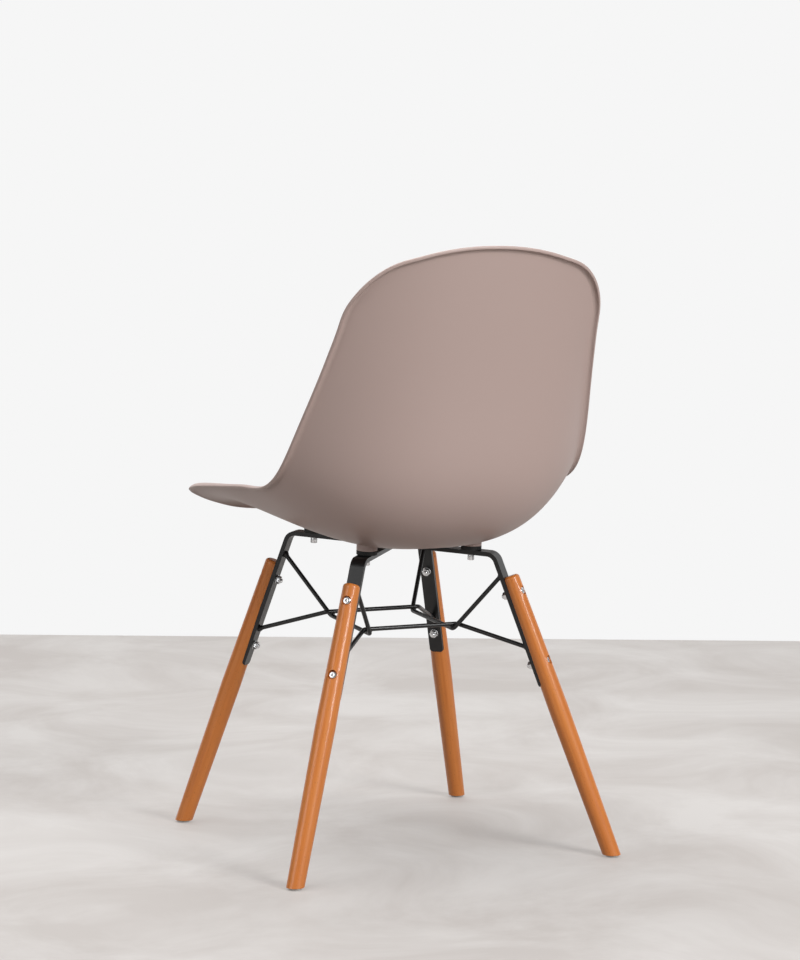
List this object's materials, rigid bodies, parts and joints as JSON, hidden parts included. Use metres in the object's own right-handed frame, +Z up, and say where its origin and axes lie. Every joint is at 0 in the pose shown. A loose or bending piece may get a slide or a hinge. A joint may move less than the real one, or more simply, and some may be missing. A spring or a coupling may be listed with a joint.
{
  "type": "moulded plastic shell chair",
  "caption": "Armless side chair: one-piece moulded plastic bucket seat and back with a rolled rim, on splayed turned wooden legs and a black bent-steel cross frame with wire stretchers.",
  "frame": {"origin": "floor level, under the middle of the chair's overall box", "axes": "+Z up, +Y towards the front of the seat, +X towards the sitter's right"},
  "size_m": [0.491, 0.5803, 0.8262],
  "materials": {
    "shell_plastic": "fine satin moulded texture, taupe",
    "leg_wood": "clear honey lacquer on turned beech",
    "black_steel": "satin black powder coat",
    "zinc_steel": "bright zinc plate",
    "black_rubber": "matt black",
    "brass": "machined",
    "glide_plastic": "milky translucent"
  },
  "bodies": {
    "root": {"seat_shell": "shell_plastic", "threaded_inserts": "brass", "spacer_front_left": "black_rubber", "spacer_front_right": "black_rubber", "spacer_rear_left": "black_rubber", "spacer_rear_right": "black_rubber", "cross_bar_upper": "black_steel", "cross_bar_lower": "black_steel", "stretcher_front": "black_steel", "stretcher_rear": "black_steel", "brace_left": "black_steel", "brace_right": "black_steel", "leg_front_left": "leg_wood", "leg_front_right": "leg_wood", "leg_rear_left": "leg_wood", "leg_rear_right": "leg_wood", "glide_front_left": "glide_plastic", "glide_front_right": "glide_plastic", "glide_rear_left": "glide_plastic", "glide_rear_right": "glide_plastic", "leg_screws": "zinc_steel", "leg_washers": "zinc_steel", "leg_nuts": "zinc_steel", "seat_screws": "zinc_steel", "seat_washers": "zinc_steel"}
  },
  "joints": []
}
